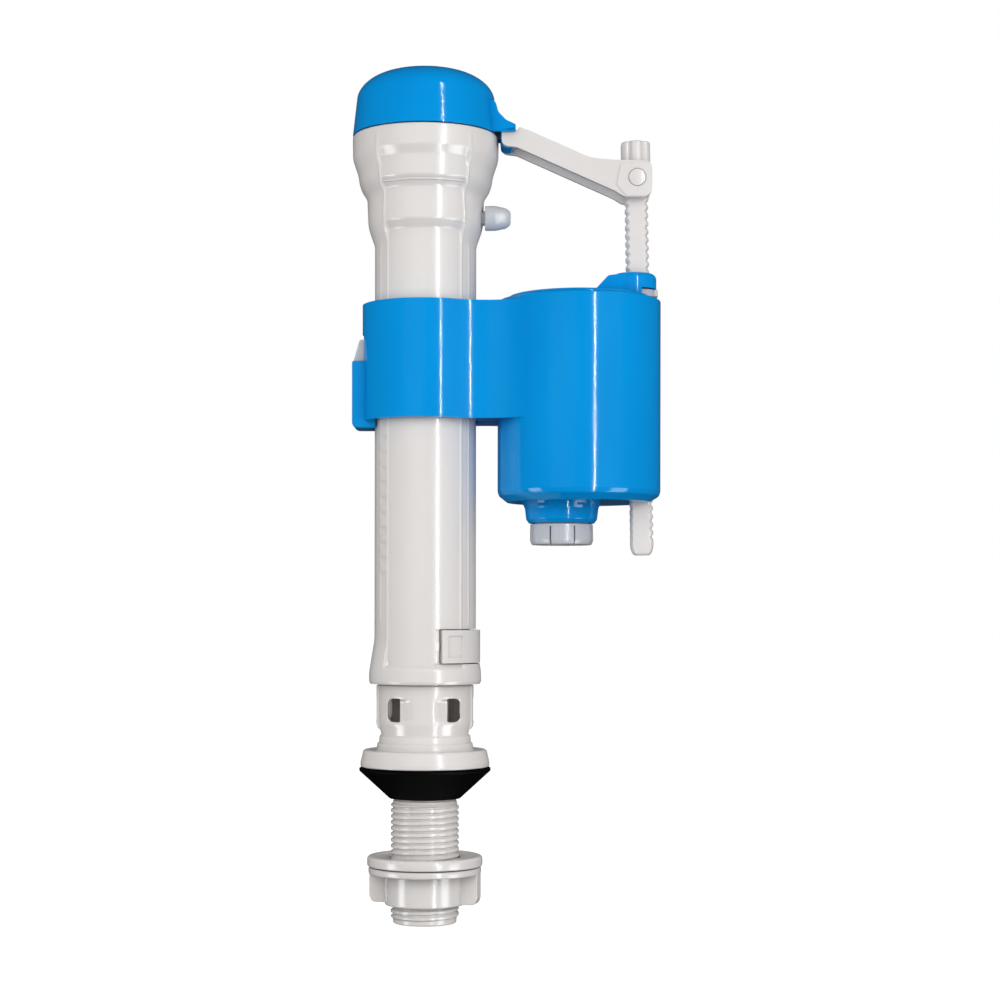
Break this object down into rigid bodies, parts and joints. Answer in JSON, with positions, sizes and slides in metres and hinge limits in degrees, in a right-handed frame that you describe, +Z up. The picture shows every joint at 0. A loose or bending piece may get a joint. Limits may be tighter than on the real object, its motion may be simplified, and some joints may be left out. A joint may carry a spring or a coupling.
{
  "type": "toilet fill valve",
  "caption": "Bottom-entry toilet fill valve: telescoping tube, domed valve head, float lever, sliding delay-fill bucket, threaded shank with cone washer and wing nut.",
  "frame": {"origin": "centre of the inlet end of the threaded shank", "axes": "+Z up along the shank and tube, +X towards the float bucket and the lever"},
  "size_m": [0.0946, 0.05, 0.2613],
  "materials": {
    "white_plastic": "injection-moulded white plastic, satin gloss",
    "milky_plastic": "milky translucent plastic, satin gloss",
    "blue_plastic": "injection-moulded bright blue plastic, glossy",
    "black_rubber": "moulded black rubber, matte",
    "silicone": "moulded dark grey silicone rubber, matte"
  },
  "bodies": {
    "base": {"base_shank": "white_plastic", "inlet_strainer": "milky_plastic", "flow_restrictor": "silicone", "cone_washer": "black_rubber", "supply_pipe": "white_plastic"},
    "shank_washer": {"friction_washer": "white_plastic"},
    "nut": {"wing_nut": "white_plastic"},
    "tube": {"upper_tube": "white_plastic", "riser_tube": "white_plastic", "riser_o_ring": "black_rubber", "valve_seat": "white_plastic", "pilot_plate": "white_plastic", "refill_plug": "milky_plastic", "top_cap": "blue_plastic", "cap_seal": "black_rubber", "lever_pin": "white_plastic"},
    "tube_lock": {"lock_clip": "white_plastic"},
    "main_valve": {"diaphragm": "silicone", "diaphragm_plate": "white_plastic"},
    "lever": {"lever": "white_plastic", "pilot_seal": "black_rubber"},
    "swivel": {"swivel_block": "white_plastic"},
    "rod": {"adjusting_rod": "white_plastic"},
    "float": {"float": "blue_plastic"},
    "rod_clip": {"float_clip": "milky_plastic"},
    "bucket": {"bucket": "blue_plastic", "latch_pin": "white_plastic", "drain_retainer": "milky_plastic"},
    "latch": {"height_latch": "milky_plastic"},
    "flap": {"drain_flap": "silicone"}
  },
  "joints": [
    {"name": "nut_travel", "type": "slide", "parent": "base", "child": "shank_washer", "axis": [0, 0, 1], "range_m": [-0.0037, 0.0128]},
    {"name": "nut_spin", "type": "hinge", "parent": "shank_washer", "child": "nut", "pos_m": [0, 0, 0.012], "axis": [0, 0, 1], "range_deg": [-720, 2520]},
    {"name": "tube_extend", "type": "slide", "parent": "base", "child": "tube", "axis": [0, 0, 1], "range_m": [0, 0.06]},
    {"name": "lock_pull", "type": "slide", "parent": "tube", "child": "tube_lock", "axis": [1, 0, 0], "range_m": [0, 0.008]},
    {"name": "lever_lift", "type": "hinge", "parent": "tube", "child": "lever", "pos_m": [0.0254, 0, 0.2393], "axis": [0, -1, 0], "range_deg": [0, 6.5]},
    {"name": "valve_close", "type": "slide", "parent": "tube", "child": "main_valve", "axis": [0, 0, -1], "range_m": [0, 0.0015]},
    {"name": "swivel_turn", "type": "hinge", "parent": "lever", "child": "swivel", "pos_m": [0.0646, 0, 0.2278], "axis": [0, 1, 0], "range_deg": [0, 6.5]},
    {"name": "rod_turn", "type": "hinge", "parent": "swivel", "child": "rod", "pos_m": [0.0646, 0, 0.2278], "axis": [-0.0175, 0, 0.9998], "range_deg": [-900, 900]},
    {"name": "float_height", "type": "slide", "parent": "swivel", "child": "float", "axis": [0, 0, 1], "range_m": [-0.04, 0.008]},
    {"name": "clip_release", "type": "slide", "parent": "float", "child": "rod_clip", "axis": [1, 0, 0], "range_m": [0, 0.003]},
    {"name": "bucket_slide", "type": "slide", "parent": "tube", "child": "bucket", "axis": [0, 0, 1], "range_m": [-0.04, 0.008]},
    {"name": "latch_release", "type": "hinge", "parent": "bucket", "child": "latch", "pos_m": [-0.0196, 0, 0.163], "axis": [0, -1, 0], "range_deg": [0, 8]},
    {"name": "flap_lift", "type": "slide", "parent": "bucket", "child": "flap", "axis": [0, 0, 1], "range_m": [0, 0.0028]}
  ],
  "couplings": [
    {"joint": "nut_travel", "follows": "nut_spin", "m_per_rad": 0.00028871},
    {"joint": "valve_close", "follows": "lever_lift", "m_per_rad": 0.01322},
    {"joint": "swivel_turn", "follows": "lever_lift", "ratio": 1},
    {"joint": "float_height", "follows": "bucket_slide", "ratio": 1}
  ]
}
